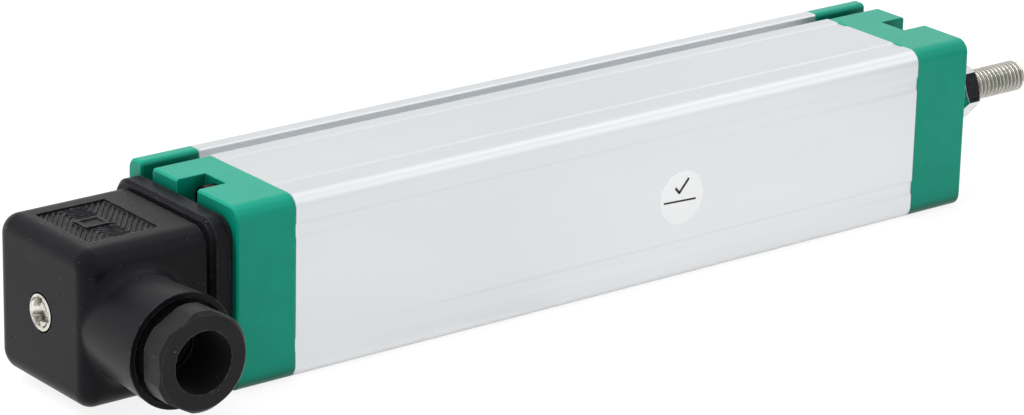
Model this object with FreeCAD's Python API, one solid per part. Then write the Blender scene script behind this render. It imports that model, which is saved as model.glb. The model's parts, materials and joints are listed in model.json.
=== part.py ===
import FreeCAD, Part
import math
import os

# Rod-type linear position sensor, in millimetres.
# The rod points along +X, the marked face looks along -Y and +Z is up.
# The origin is in the middle of the housing's underside.

# Stroke, which sets the housing's length
ELECTRICAL_STROKE = 100.0
OVERTRAVEL = 2.0
CARRIAGE_LENGTH = 22.9
BUMPER_THICKNESS = 3.0
STOP_GAP = 0.3
SPIGOT_LENGTH = 4.0

# Housing section
HOUSING_WIDTH = 32.9
HOUSING_HEIGHT = 32.9
HOUSING_WALL = 2.0
CORNER_RADIUS = 2.5
INNER_RADIUS = 0.5
LIP_THICKNESS = 4.1
LIP_RADIUS = 2.0
CLAMP_GROOVE_WIDTH = 3.1
CLAMP_GROOVE_DEPTH = 4.0
CLAMP_GROOVE_ROOT = 0.3
HOUSING_GROOVE_EDGE = 0.4
SHALLOW_GROOVE_DEPTH = 0.2
SHALLOW_GROOVE_FLANK = 0.6
FRONT_GROOVE_WIDTH = 3.0
FRONT_GROOVE_OFFSET = 10.25
TOP_GROOVE_WIDTH = 3.0
TOP_GROOVE_PLACES = (4.9, -10.5)

# End caps and what fastens and seals them
REAR_CAP_THICKNESS = 11.8
FRONT_CAP_THICKNESS = 12.9
CAP_EDGE_BEVEL = 0.35
CAP_SEAM_BEVEL = 0.2
CAP_GROOVE_EDGE = 0.9
SPIGOT_CLEARANCE = 0.2
CAP_GASKET_THICKNESS = 0.8
CAP_GASKET_INSET = 0.7
CAP_GASKET_CLEARANCE = 0.1
CAP_SCREW_Y = -1.5
CAP_SCREW_INSET = 3.5
CAP_SCREW_DIAMETER = 3.0
CAP_SCREW_GRIP = 9.0
CAP_SCREW_HEAD_DIAMETER = 5.0
CAP_SCREW_HEAD_HEIGHT = 2.5
CAP_SCREW_SOCKET = 2.5
CAP_SCREW_SOCKET_DEPTH = 1.5
NOTCH_CLEARANCE = 0.6
NOTCH_DEPTH = 5.8
SCREW_CLEARANCE = 0.1

# Rod, its bearing, seal and nut
ROD_DIAMETER = 6.0
ROD_RUNNING_CLEARANCE = 0.05
BUSHING_WALL = 2.0
SEAL_DEPTH = 3.0
SEAL_SHOULDER = 1.0
SEAL_SHOULDER_CLEARANCE = 0.4
SEAL_LIP_THICKNESS = 0.65
SEAL_GROOVE_WIDTH = 0.7
SEAL_GROOVE_DEPTH = 1.5
SEAT_CLEARANCE = 0.05
JOURNAL_DIAMETER = 4.0
JOURNAL_END_PLAY = 0.1
THREAD_MINOR_DIAMETER = 4.9
THREAD_START = 2.0
NUT_STANDOFF = 11.4
NUT_THICKNESS = 3.8
NUT_ACROSS_FLATS = 10.0
NUT_TURN = 41.5
NUT_FACE_SHARE = 0.95
NUT_CHAMFER_ANGLE = 30.0
FREE_THREAD_LENGTH = 14.5
TIP_CHAMFER = 0.65

# Carriage and the clip that holds the rod in it
CARRIAGE_PLAY = 0.4
CARRIAGE_FACE = 8.0
CARRIAGE_RADIUS = 1.0
GUIDE_BAND = 5.0
GUIDE_RELIEF = 0.8
CLIP_POCKET_CLEARANCE = 1.5
CLIP_POCKET_DEPTH = 6.0
CLIP_THICKNESS = 0.6
CLIP_DIAMETER = 7.0
CLIP_GROOVE_DIAMETER = 3.0
CLIP_OPENING = 2.4
CLIP_END_PLAY = 0.3
ROD_END_LAND = 1.6
BUMPER_DIAMETER = 16.0
BUMPER_CLEARANCE = 0.4

# Board, tracks and wiper
BOARD_THICKNESS = 1.6
BOARD_PLAY = 0.2
RIB_THICKNESS = 1.0
RIB_HEIGHT = 2.0
TRACK_THICKNESS = 0.15
TRACK_HEIGHT = 4.0
TRACK_OFFSET = 5.0
TRACK_MARGIN = 3.0
WIPER_THICKNESS = 0.4
WIPER_GAP = 0.25
WIPER_HEIGHT = 2.5
WIPER_PLATE_LENGTH = 5.0
WIPER_LEAF_LENGTH = 8.0
WIPER_TOE_LENGTH = 1.5
WIPER_TOE_RISE = 1.0
WIPER_SETBACK = 4.0

# Connector on the rear cap
CONNECTOR_DROP = 0.75
CONNECTOR_SIZE = 27.7
CONNECTOR_DEPTH = 23.45
CONNECTOR_WALL = 2.5
CONNECTOR_CORNER = 3.8
CONNECTOR_EDGE = 3.0
PLUG_GASKET_THICKNESS = 0.7
PLUG_GASKET_INSET = 0.6
GRIP_PANEL_LENGTH = 13.8
GRIP_PANEL_WIDTH = 16.5
GRIP_PANEL_DEPTH = 0.5
GRIP_PANEL_SETBACK = 4.2
GRIP_PLATE_LENGTH = 4.75
GRIP_PLATE_WIDTH = 3.95
GRIP_PLATE_SETBACK = 3.65
GRIP_PLATE_RIM = 0.5
GRIP_PLATE_RECESS = 0.25

# Fixed half of the connector
FLANGE_OVERHANG = 1.25
FLANGE_THICKNESS = 3.3
FLANGE_CORNER = 3.8
FLANGE_BEVEL = 0.7
FLANGE_GASKET_THICKNESS = 0.6
FLANGE_GASKET_INSET = 0.3
BASE_CORNER = 2.0
BASE_HEIGHT = 6.5
BASE_CLEARANCE = 0.5
PIN_COUNT = 4
PIN_MARGIN = 2.5
PIN_WIDTH = 6.3
PIN_THICKNESS = 0.8
PIN_LENGTH = 8.0
TAIL_DIAMETER = 1.2
TAIL_CLEARANCE = 0.3
BASE_SCREW_MARGIN = 2.9
BASE_SCREW_DIAMETER = 2.5
BASE_SCREW_HEAD_DIAMETER = 4.4
BASE_SCREW_HEAD_HEIGHT = 1.5
BASE_SCREW_GRIP = 4.0
CAP_FLOOR = 6.5
CHAMBER_MARGIN = 1.4
WIRE_DIAMETER = 1.2
WIRE_LEAD = 1.4
WIRE_SLOT_WIDTH = 2.2
WIRE_OVERLAP = 4.0
WIRE_PITCH = 5.0
MIDDLE_WIRE_RISE = 1.25

# Loose half of the connector
BLOCK_CLEARANCE = 0.3
BLOCK_STANDOFF = 0.4
BLOCK_LENGTH = 9.5
FORK_THICKNESS = 0.6
FORK_PLAY = 0.1
FORK_END_GAP = 0.5
FORK_SETBACK = 0.4
CENTRE_SCREW_DIAMETER = 3.0
CENTRE_SCREW_HEAD_DIAMETER = 6.4
CENTRE_SCREW_HEAD_HEIGHT = 2.2
CENTRE_SCREW_ENGAGEMENT = 4.0
SCREW_HOLE_CLEARANCE = 0.3
SCREW_SEAT_WALL = 1.25
SCREW_SEAL_THICKNESS = 0.8
TERMINAL_SCREW_DIAMETER = 2.5
TERMINAL_SCREW_HEAD_DIAMETER = 4.4
TERMINAL_SCREW_HEAD_HEIGHT = 1.8

# Cable gland on the connector's side
GLAND_FACE_SETBACK = 0.15
GLAND_RISE = 0.25
GLAND_BOSS_RIM = 1.05
GLAND_BOSS_FLARE = 1.0
GLAND_BOSS_FILLET = 2.5
GLAND_BOSS_REACH = 28.0
GLAND_RECESS_STEP = 1.85
GLAND_RECESS_DEPTH = 1.5
GLAND_THREAD_DIAMETER = 14.2
GLAND_SEAT_REACH = 15.0
GLAND_INLET_DIAMETER = 10.4
GLAND_NUT_ACROSS_FLATS = 16.6
GLAND_NUT_CORNER_DIAMETER = 17.4
GLAND_NUT_FACE_DIAMETER = 16.2
GLAND_NUT_CHAMFER = 0.6
GLAND_NUT_HEIGHT = 4.7
GLAND_NUT_STANDOFF = 1.7
GLAND_NUT_SHANK = 5.3
GLAND_HOLE_DIAMETER = 10.9
GLAND_WASHER_THICKNESS = 1.0
GLAND_WASHER_HOLE = 9.4
GLAND_SEAL_HOLE = 8.0

# Places worked out from the sizes above
MECHANICAL_STROKE = ELECTRICAL_STROKE + 2 * OVERTRAVEL
END_ALLOWANCE = SPIGOT_LENGTH + BUMPER_THICKNESS + STOP_GAP
HOUSING_LENGTH = MECHANICAL_STROKE + CARRIAGE_LENGTH + 2 * END_ALLOWANCE
REAR_X = -HOUSING_LENGTH / 2
FRONT_X = HOUSING_LENGTH / 2
REAR_FACE_X = REAR_X - REAR_CAP_THICKNESS
FRONT_FACE_X = FRONT_X + FRONT_CAP_THICKNESS
ROD_Z = HOUSING_HEIGHT / 2
CONNECTOR_Z = ROD_Z - CONNECTOR_DROP
HALF_WIDTH = HOUSING_WIDTH / 2
GROOVE_INNER_Y = HALF_WIDTH - LIP_THICKNESS - CLAMP_GROOVE_WIDTH
GROOVE_OUTER_Y = HALF_WIDTH - LIP_THICKNESS
BORE_HALF_WIDTH = HALF_WIDTH - HOUSING_WALL
BORE_HALF_HEIGHT = HOUSING_HEIGHT / 2 - CLAMP_GROOVE_DEPTH - HOUSING_WALL
NOTCH_WIDTH = CAP_SCREW_HEAD_DIAMETER + 2 * NOTCH_CLEARANCE
CLIP_POCKET_DIAMETER = CLIP_DIAMETER + 2 * CLIP_POCKET_CLEARANCE
CARRIAGE_X = REAR_X + END_ALLOWANCE
CARRIAGE_FRONT_X = CARRIAGE_X + CARRIAGE_LENGTH
BOARD_FACE_Y = -BORE_HALF_WIDTH + BOARD_PLAY + BOARD_THICKNESS
NUT_X = FRONT_FACE_X + NUT_STANDOFF
NUT_FRONT_X = NUT_X + NUT_THICKNESS
TIP_X = NUT_FRONT_X + FREE_THREAD_LENGTH
FLANGE_SEAT_X = REAR_FACE_X - FLANGE_GASKET_THICKNESS
FLANGE_X = FLANGE_SEAT_X - FLANGE_THICKNESS
MOUTH_X = FLANGE_X - PLUG_GASKET_THICKNESS
CONNECTOR_FACE_X = MOUTH_X - CONNECTOR_DEPTH
FLANGE_SIZE = CONNECTOR_SIZE + 2 * FLANGE_OVERHANG
CAVITY_SIZE = CONNECTOR_SIZE - 2 * CONNECTOR_WALL
BASE_SIZE = CAVITY_SIZE - 2 * BASE_CLEARANCE
BASE_SCREW_OFFSET = BASE_SIZE / 2 - BASE_SCREW_MARGIN
PIN_CIRCLE = BASE_SIZE - 2 * PIN_MARGIN
BASE_TOP_X = REAR_FACE_X - BASE_HEIGHT
PIN_END_X = BASE_TOP_X - PIN_LENGTH
BLOCK_FRONT_X = BASE_TOP_X - BLOCK_STANDOFF
BLOCK_REAR_X = BLOCK_FRONT_X - BLOCK_LENGTH
GLAND_RECESS_DIAMETER = GLAND_THREAD_DIAMETER + 2 * GLAND_RECESS_STEP
GLAND_BOSS_RADIUS = GLAND_RECESS_DIAMETER / 2 + GLAND_BOSS_RIM
GLAND_ROOT_RADIUS = GLAND_BOSS_RADIUS - GLAND_BOSS_FLARE
GLAND_X = CONNECTOR_FACE_X + GLAND_FACE_SETBACK + GLAND_ROOT_RADIUS
GLAND_NUT_SEAT = GLAND_BOSS_REACH + GLAND_NUT_STANDOFF
GLAND_NUT_REACH = GLAND_NUT_SEAT + GLAND_NUT_HEIGHT
CHAMBER_X = REAR_FACE_X + CAP_FLOOR

SAME_PLANE = 1e-6
V = FreeCAD.Vector
ALONG = V(1, 0, 0)
SIDE = V(0, -1, 0)
ACROSS = V(0, 1, 0)
UP = V(0, 0, 1)
ROD_AXIS = V(0, 0, ROD_Z)
CONNECTOR_AXIS = V(0, 0, CONNECTOR_Z)
GLAND_AXIS = V(GLAND_X, 0, CONNECTOR_Z + GLAND_RISE)


# Shared shapes

def box(x_low, x_high, y_low, y_high, z_low, z_high):
    return Part.makeBox(x_high - x_low, y_high - y_low, z_high - z_low, V(x_low, y_low, z_low))


def rounded_corner(before, here, after, radius):
    """Start, middle and end of the arc that rounds one corner of an outline."""
    to_before = (before - here).normalize()
    to_after = (after - here).normalize()
    half_angle = to_before.getAngle(to_after) / 2
    reach = radius / math.tan(half_angle)
    inward = (to_before + to_after).normalize()
    middle = here + inward * (radius / math.sin(half_angle) - radius)
    return here + to_before * reach, middle, here + to_after * reach


def outline(corners):
    """Closed wire through (y, z, radius) corners, in the plane X = 0."""
    points = [V(0, y, z) for y, z, radius in corners]
    arcs = []
    for index, (y, z, radius) in enumerate(corners):
        following = points[(index + 1) % len(points)]
        arcs.append(rounded_corner(points[index - 1], points[index], following, radius))
    edges = []
    for index, (start, middle, end) in enumerate(arcs):
        edges.append(Part.Arc(start, middle, end).toShape())
        next_start = arcs[(index + 1) % len(arcs)][0]
        edges.append(Part.LineSegment(end, next_start).toShape())
    return Part.Wire(edges)


def prism(corners, x_low, x_high):
    """Solid between two X stations with the outline of the given corners."""
    face = Part.Face(outline(corners))
    face.translate(V(x_low, 0, 0))
    return face.extrude(V(x_high - x_low, 0, 0))


def rectangle(z_middle, width, height, radius):
    """Corners of a rounded rectangle centred on Y = 0."""
    half = width / 2
    low = z_middle - height / 2
    high = z_middle + height / 2
    return [(-half, low, radius), (-half, high, radius), (half, high, radius), (half, low, radius)]


def turned(stations, origin, axis):
    """Solid of revolution through (distance along the axis, radius) stations."""
    points = [origin + axis * along + UP * radius for along, radius in stations]
    face = Part.Face(Part.makePolygon(points + points[:1]))
    return face.revolve(origin, axis, 360)


def disc(radius, low, high, origin, axis):
    return Part.makeCylinder(radius, high - low, origin + axis * low, axis)


def ring(outer, inner, low, high, origin, axis):
    return turned([(low, inner), (high, inner), (high, outer), (low, outer)], origin, axis)


def hexagon(across_flats, low, high, origin, axis, turn):
    """Hexagonal prism, its first corner turned from the vertical about the axis."""
    corner = across_flats / math.sqrt(3)
    sideways = axis.cross(UP)
    points = []
    for step in range(6):
        angle = math.radians(turn + 60 * step)
        points.append(origin + axis * low + (UP * math.cos(angle) + sideways * math.sin(angle)) * corner)
    face = Part.Face(Part.makePolygon(points + points[:1]))
    return face.extrude(axis * (high - low))


def end_edges(solid, x):
    """Edges of a solid that lie in the plane at x."""
    spans = [(edge, edge.BoundBox) for edge in solid.Edges]
    return [edge for edge, span in spans if abs(span.XMin - x) + abs(span.XMax - x) < SAME_PLANE]


def screw(shank_radius, shank_length, head_radius, head_height, origin, axis):
    """Plain screw: the head starts at the origin and the shank runs on along the axis."""
    stations = [
        (-head_height, 0),
        (-head_height, head_radius),
        (0, head_radius),
        (0, shank_radius),
        (shank_length, shank_radius),
        (shank_length, 0),
    ]
    return turned(stations, origin, axis)


# Housing

def section_corners(inset, groove_edge):
    """Outer section shared by housing and caps, moved inwards by the inset."""
    left = -HALF_WIDTH + inset
    right = HALF_WIDTH - inset
    groove_inner = GROOVE_INNER_Y - inset
    groove_outer = GROOVE_OUTER_Y + inset
    floor = CLAMP_GROOVE_DEPTH + inset
    corner = CORNER_RADIUS - inset
    lip = LIP_RADIUS - inset
    root = CLAMP_GROOVE_ROOT + inset
    upper = [
        (left, HOUSING_HEIGHT - inset, corner),
        (groove_inner, HOUSING_HEIGHT - inset, groove_edge),
        (groove_inner, HOUSING_HEIGHT - floor, root),
        (groove_outer, HOUSING_HEIGHT - floor, root),
        (groove_outer, HOUSING_HEIGHT - inset, groove_edge),
        (right, HOUSING_HEIGHT - inset, lip),
    ]
    lower = [(y, HOUSING_HEIGHT - z, radius) for y, z, radius in reversed(upper)]
    return upper + lower


def bore_corners():
    """Inside of the housing: it steps round the clamp grooves and the screw channels."""
    level = ROD_Z + BORE_HALF_HEIGHT
    ceiling = HOUSING_HEIGHT - HOUSING_WALL
    web_low = CAP_SCREW_Y - NOTCH_WIDTH / 2
    web_high = CAP_SCREW_Y + NOTCH_WIDTH / 2
    shoulder = GROOVE_INNER_Y - HOUSING_WALL
    upper = [
        (-BORE_HALF_WIDTH, ceiling),
        (web_low, ceiling),
        (web_low, level),
        (web_high, level),
        (web_high, ceiling),
        (shoulder, ceiling),
        (shoulder, level),
        (BORE_HALF_WIDTH, level),
    ]
    lower = [(y, HOUSING_HEIGHT - z) for y, z in reversed(upper)]
    return [(y, z, INNER_RADIUS) for y, z in upper + lower]


def cap_screw_heights():
    return (HOUSING_HEIGHT - CAP_SCREW_INSET, CAP_SCREW_INSET)


def shallow_groove(middle, inward, across, width):
    """Cutter for one groove with sloping flanks along the housing, from its middle on the surface."""
    half = width / 2
    floor = half - SHALLOW_GROOVE_FLANK
    depth = inward * SHALLOW_GROOVE_DEPTH
    points = [
        middle - across * half,
        middle + across * half,
        middle + across * floor + depth,
        middle - across * floor + depth,
    ]
    return Part.Face(Part.makePolygon(points + points[:1])).extrude(ALONG * HOUSING_LENGTH)


def shallow_grooves():
    """Cutters for the shallow grooves along the front, the top and the underside."""
    cutters = []
    for offset in (FRONT_GROOVE_OFFSET, -FRONT_GROOVE_OFFSET):
        middle = V(REAR_X, -HALF_WIDTH, ROD_Z + offset)
        cutters.append(shallow_groove(middle, ACROSS, UP, FRONT_GROOVE_WIDTH))
    for place in TOP_GROOVE_PLACES:
        top = V(REAR_X, place, HOUSING_HEIGHT)
        underside = V(REAR_X, place, 0)
        cutters.append(shallow_groove(top, UP * -1, ACROSS, TOP_GROOVE_WIDTH))
        cutters.append(shallow_groove(underside, UP, ACROSS, TOP_GROOVE_WIDTH))
    return cutters


def extruded_housing():
    body = prism(section_corners(0, HOUSING_GROOVE_EDGE), REAR_X, FRONT_X)
    body = body.cut(prism(bore_corners(), REAR_X, FRONT_X))
    rib_y = BOARD_FACE_Y + BOARD_PLAY
    ceiling = HOUSING_HEIGHT - HOUSING_WALL
    ribs = [
        box(REAR_X, FRONT_X, rib_y, rib_y + RIB_THICKNESS, ceiling - RIB_HEIGHT, ceiling),
        box(REAR_X, FRONT_X, rib_y, rib_y + RIB_THICKNESS, HOUSING_WALL, HOUSING_WALL + RIB_HEIGHT),
    ]
    body = body.fuse(ribs).removeSplitter()
    channel_radius = CAP_SCREW_DIAMETER / 2 + SCREW_CLEARANCE
    cutters = shallow_grooves()
    for z in cap_screw_heights():
        cutters.append(disc(channel_radius, REAR_X, FRONT_X, V(0, CAP_SCREW_Y, z), ALONG))
    return body.cut(cutters)


# End caps

def spigot_corners():
    width = 2 * (BORE_HALF_WIDTH - SPIGOT_CLEARANCE)
    height = 2 * (BORE_HALF_HEIGHT - SPIGOT_CLEARANCE)
    return rectangle(ROD_Z, width, height, INNER_RADIUS)


def notch(outer_x, inward, z):
    """Open U-shaped notch round one cap screw, running in from the cap's outer face."""
    radius = NOTCH_WIDTH / 2
    floor_x = outer_x + inward * NOTCH_DEPTH
    low = min(outer_x, floor_x)
    high = max(outer_x, floor_x)
    edge_z = HOUSING_HEIGHT if z > ROD_Z else 0
    seat = disc(radius, low, high, V(0, CAP_SCREW_Y, z), ALONG)
    mouth = box(low, high, CAP_SCREW_Y - radius, CAP_SCREW_Y + radius, min(z, edge_z), max(z, edge_z))
    return seat.fuse(mouth)


def end_cap(inner_x, outer_x):
    """Cap between the housing's end and its own outer face, with spigot, notches and screw holes."""
    inward = 1 if inner_x > outer_x else -1
    cap = prism(section_corners(0, CAP_GROOVE_EDGE), inner_x, outer_x)
    cap = cap.makeChamfer(CAP_EDGE_BEVEL, end_edges(cap, outer_x))
    cap = cap.makeChamfer(CAP_SEAM_BEVEL, end_edges(cap, inner_x))
    recess_x = inner_x - inward * CAP_GASKET_THICKNESS
    cap = cap.cut(prism(section_corners(CAP_GASKET_INSET, CAP_GROOVE_EDGE), recess_x, inner_x))
    cap = cap.fuse(prism(spigot_corners(), recess_x, inner_x + inward * SPIGOT_LENGTH)).removeSplitter()
    hole_radius = CAP_SCREW_DIAMETER / 2 + SCREW_CLEARANCE
    low = min(inner_x, outer_x)
    high = max(inner_x, outer_x)
    cutters = []
    for z in cap_screw_heights():
        cutters.append(notch(outer_x, inward, z))
        cutters.append(disc(hole_radius, low, high, V(0, CAP_SCREW_Y, z), ALONG))
    return cap.cut(cutters)


def cap_gasket(inner_x, inward):
    """Flat gasket in the cap's recess, cut out for the spigot and the two screws."""
    clearance = CAP_GASKET_CLEARANCE
    recess_x = inner_x - inward * CAP_GASKET_THICKNESS
    inset = CAP_GASKET_INSET + clearance
    plate = prism(section_corners(inset, CAP_GROOVE_EDGE), recess_x, inner_x)
    opening_width = 2 * (BORE_HALF_WIDTH - SPIGOT_CLEARANCE + clearance)
    opening_height = 2 * (BORE_HALF_HEIGHT - SPIGOT_CLEARANCE + clearance)
    cutters = [prism(rectangle(ROD_Z, opening_width, opening_height, INNER_RADIUS), recess_x, inner_x)]
    hole_radius = CAP_SCREW_DIAMETER / 2 + SCREW_CLEARANCE
    low = min(recess_x, inner_x)
    high = max(recess_x, inner_x)
    for z in cap_screw_heights():
        cutters.append(disc(hole_radius, low, high, V(0, CAP_SCREW_Y, z), ALONG))
    return plate.cut(cutters)


def cap_screws(inner_x, outer_x):
    """Socket-head screws that pull one cap onto the housing."""
    inward = 1 if inner_x > outer_x else -1
    axis = ALONG * inward
    seat_x = outer_x + inward * NOTCH_DEPTH
    shank = abs(inner_x - seat_x) + CAP_SCREW_GRIP
    shank_radius = CAP_SCREW_DIAMETER / 2
    head_radius = CAP_SCREW_HEAD_DIAMETER / 2
    top = -CAP_SCREW_HEAD_HEIGHT
    screws = []
    for z in cap_screw_heights():
        seat = V(seat_x, CAP_SCREW_Y, z)
        solid = screw(shank_radius, shank, head_radius, CAP_SCREW_HEAD_HEIGHT, seat, axis)
        socket = hexagon(CAP_SCREW_SOCKET, top, top + CAP_SCREW_SOCKET_DEPTH, seat, axis, 0)
        screws.append(solid.cut(socket))
    return Part.makeCompound(screws)


def bushing_radius():
    return ROD_DIAMETER / 2 + ROD_RUNNING_CLEARANCE + BUSHING_WALL


def seal_shoulder_x():
    """Inner side of the shoulder that parts the bushing from the seal."""
    return FRONT_FACE_X - SEAL_DEPTH - SEAL_SHOULDER


def front_end_cap():
    cap = end_cap(FRONT_X, FRONT_FACE_X)
    seat_radius = bushing_radius() + SEAT_CLEARANCE
    spigot_x = FRONT_X - SPIGOT_LENGTH
    shoulder_radius = ROD_DIAMETER / 2 + SEAL_SHOULDER_CLEARANCE
    stations = [
        (spigot_x, 0),
        (spigot_x, seat_radius),
        (seal_shoulder_x(), seat_radius),
        (seal_shoulder_x(), shoulder_radius),
        (FRONT_FACE_X - SEAL_DEPTH, shoulder_radius),
        (FRONT_FACE_X - SEAL_DEPTH, seat_radius),
        (FRONT_FACE_X, seat_radius),
        (FRONT_FACE_X, 0),
    ]
    return cap.cut(turned(stations, ROD_AXIS, ALONG))


def rod_bushing():
    inner = ROD_DIAMETER / 2 + ROD_RUNNING_CLEARANCE
    return ring(bushing_radius(), inner, FRONT_X - SPIGOT_LENGTH, seal_shoulder_x(), ROD_AXIS, ALONG)


def rod_wiper_seal():
    """Seal ring with a groove behind its lip."""
    inner = ROD_DIAMETER / 2 + ROD_RUNNING_CLEARANCE
    low = FRONT_FACE_X - SEAL_DEPTH
    lip = inner + SEAL_LIP_THICKNESS
    rim = lip + SEAL_GROOVE_WIDTH
    groove_x = FRONT_FACE_X - SEAL_GROOVE_DEPTH
    stations = [
        (low, inner),
        (FRONT_FACE_X, inner),
        (FRONT_FACE_X, lip),
        (groove_x, lip),
        (groove_x, rim),
        (FRONT_FACE_X, rim),
        (FRONT_FACE_X, bushing_radius()),
        (low, bushing_radius()),
    ]
    return turned(stations, ROD_AXIS, ALONG)


def front_bumper():
    inner = ROD_DIAMETER / 2 + BUMPER_CLEARANCE
    high = FRONT_X - SPIGOT_LENGTH
    return ring(BUMPER_DIAMETER / 2, inner, high - BUMPER_THICKNESS, high, ROD_AXIS, ALONG)


def rear_bumper():
    inner = CLIP_POCKET_DIAMETER / 2 + BUMPER_CLEARANCE
    low = REAR_X + SPIGOT_LENGTH
    return ring(BUMPER_DIAMETER / 2, inner, low, low + BUMPER_THICKNESS, ROD_AXIS, ALONG)


# Leads and what the rear cap makes room for

def wired_pin_places():
    """(y, z) of the three pins that have a lead, and the height of each lead on the board."""
    radius = PIN_CIRCLE / 2
    return [
        (-radius, CONNECTOR_Z, ROD_Z - WIRE_PITCH),
        (radius, CONNECTOR_Z, ROD_Z + MIDDLE_WIRE_RISE),
        (0, CONNECTOR_Z + radius, ROD_Z + WIRE_PITCH),
    ]


def base_screw_places():
    offset = BASE_SCREW_OFFSET
    return [(-offset, CONNECTOR_Z - offset), (offset, CONNECTOR_Z + offset)]


def rear_end_cap():
    """Cap with a wiring chamber behind its outer wall and a slot for the leads through its spigot."""
    cap = end_cap(REAR_X, REAR_FACE_X)
    chamber_end = REAR_X - CAP_GASKET_THICKNESS
    low_y = BOARD_FACE_Y - SPIGOT_CLEARANCE
    high_y = PIN_CIRCLE / 2 + CHAMBER_MARGIN
    low_z = ROD_Z - WIRE_PITCH - CHAMBER_MARGIN
    high_z = CONNECTOR_Z + PIN_CIRCLE / 2 + CHAMBER_MARGIN
    slot_top = ROD_Z + WIRE_PITCH + CHAMBER_MARGIN
    cutters = [
        box(CHAMBER_X, chamber_end, low_y, high_y, low_z, high_z),
        box(CHAMBER_X, REAR_X + SPIGOT_LENGTH, low_y, low_y + WIRE_SLOT_WIDTH, low_z, slot_top),
    ]
    for y, z, lead_z in wired_pin_places():
        tail_radius = TAIL_DIAMETER / 2 + TAIL_CLEARANCE
        cutters.append(disc(tail_radius, REAR_FACE_X, CHAMBER_X, V(0, y, z), ALONG))
    for y, z in base_screw_places():
        hole_radius = BASE_SCREW_DIAMETER / 2 + SCREW_CLEARANCE
        cutters.append(disc(hole_radius, REAR_FACE_X, REAR_FACE_X + BASE_SCREW_GRIP, V(0, y, z), ALONG))
    return cap.cut(cutters)


def stepped_wire(start, end):
    """Round wire that leaves along +X, crosses over in one straight run and goes on along +X."""
    turn_in = start + ALONG * WIRE_LEAD
    turn_out = V(turn_in.x, end.y, end.z)
    path = Part.makePolygon([start, turn_in, turn_out, end])
    section = Part.Wire(Part.Circle(start, ALONG, WIRE_DIAMETER / 2).toShape())
    mitred = 1
    return path.makePipeShell([section], True, False, mitred)


def lead_wires():
    end_x = REAR_X + SPIGOT_LENGTH + WIRE_OVERLAP
    end_y = BOARD_FACE_Y + WIRE_DIAMETER / 2
    wires = []
    for y, z, lead_z in wired_pin_places():
        wires.append(stepped_wire(V(CHAMBER_X, y, z), V(end_x, end_y, lead_z)))
    return Part.makeCompound(wires)


# Measuring parts

def element_board():
    low_x = REAR_X + SPIGOT_LENGTH + BOARD_PLAY
    high_x = FRONT_X - SPIGOT_LENGTH - BOARD_PLAY
    low_z = HOUSING_WALL + BOARD_PLAY
    return box(low_x, high_x, BOARD_FACE_Y - BOARD_THICKNESS, BOARD_FACE_Y, low_z, HOUSING_HEIGHT - low_z)


def wiper_tip_x():
    """Where the wiper meets the tracks with the rod pushed in."""
    return CARRIAGE_X + WIPER_SETBACK + WIPER_PLATE_LENGTH + WIPER_LEAF_LENGTH


def track(offset):
    low_x = wiper_tip_x() - TRACK_MARGIN
    high_x = wiper_tip_x() + MECHANICAL_STROKE + TRACK_MARGIN
    low_z = ROD_Z + offset - TRACK_HEIGHT / 2
    return box(low_x, high_x, BOARD_FACE_Y, BOARD_FACE_Y + TRACK_THICKNESS, low_z, low_z + TRACK_HEIGHT)


def resistive_track():
    return track(TRACK_OFFSET)


def collector_track():
    return track(-TRACK_OFFSET)


def wiper_contacts():
    """One spring strip: a plate on the carriage and a bent finger for each track."""
    plate_y = -CARRIAGE_FACE
    thickness = WIPER_THICKNESS
    low_x = CARRIAGE_X + WIPER_SETBACK
    bend_x = low_x + WIPER_PLATE_LENGTH
    tip_x = wiper_tip_x()
    toe_x = tip_x + WIPER_TOE_LENGTH
    tip_y = BOARD_FACE_Y + TRACK_THICKNESS + WIPER_GAP
    toe_y = tip_y + WIPER_TOE_RISE
    corners = [
        (low_x, plate_y),
        (low_x, plate_y - thickness),
        (bend_x, plate_y - thickness),
        (tip_x, tip_y),
        (toe_x, toe_y),
        (toe_x, toe_y + thickness),
        (tip_x, tip_y + thickness),
        (bend_x, plate_y),
    ]
    strip = None
    for offset in (TRACK_OFFSET, -TRACK_OFFSET):
        low_z = ROD_Z + offset - WIPER_HEIGHT / 2
        points = [V(x, y, low_z) for x, y in corners]
        finger = Part.Face(Part.makePolygon(points + points[:1])).extrude(UP * WIPER_HEIGHT)
        strip = finger if strip is None else strip.fuse(finger)
    reach = TRACK_OFFSET + WIPER_HEIGHT / 2
    plate = box(low_x, bend_x, plate_y - thickness, plate_y, ROD_Z - reach, ROD_Z + reach)
    return strip.fuse(plate).removeSplitter()


def clip_pocket_floor_x():
    return CARRIAGE_X + CLIP_POCKET_DEPTH


def wiper_carriage():
    """Slider with two guide bands, a bore for the rod's journal and a pocket for its clip."""
    half_height = BORE_HALF_HEIGHT - CARRIAGE_PLAY
    high_y = BORE_HALF_WIDTH - CARRIAGE_PLAY

    def band(relief):
        low = ROD_Z - half_height + relief
        high = ROD_Z + half_height - relief
        edge = high_y - relief
        corners = [(-CARRIAGE_FACE, low), (-CARRIAGE_FACE, high), (edge, high), (edge, low)]
        return [(y, z, CARRIAGE_RADIUS) for y, z in corners]

    slider = prism(band(GUIDE_RELIEF), CARRIAGE_X, CARRIAGE_FRONT_X)
    rear_band = prism(band(0), CARRIAGE_X, CARRIAGE_X + GUIDE_BAND)
    front_band = prism(band(0), CARRIAGE_FRONT_X - GUIDE_BAND, CARRIAGE_FRONT_X)
    slider = slider.fuse([rear_band, front_band]).removeSplitter()
    journal_hole = JOURNAL_DIAMETER / 2 + ROD_RUNNING_CLEARANCE
    return slider.cut([
        disc(journal_hole, CARRIAGE_X, CARRIAGE_FRONT_X, ROD_AXIS, ALONG),
        disc(CLIP_POCKET_DIAMETER / 2, CARRIAGE_X, clip_pocket_floor_x(), ROD_AXIS, ALONG),
    ])


# Rod

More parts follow.
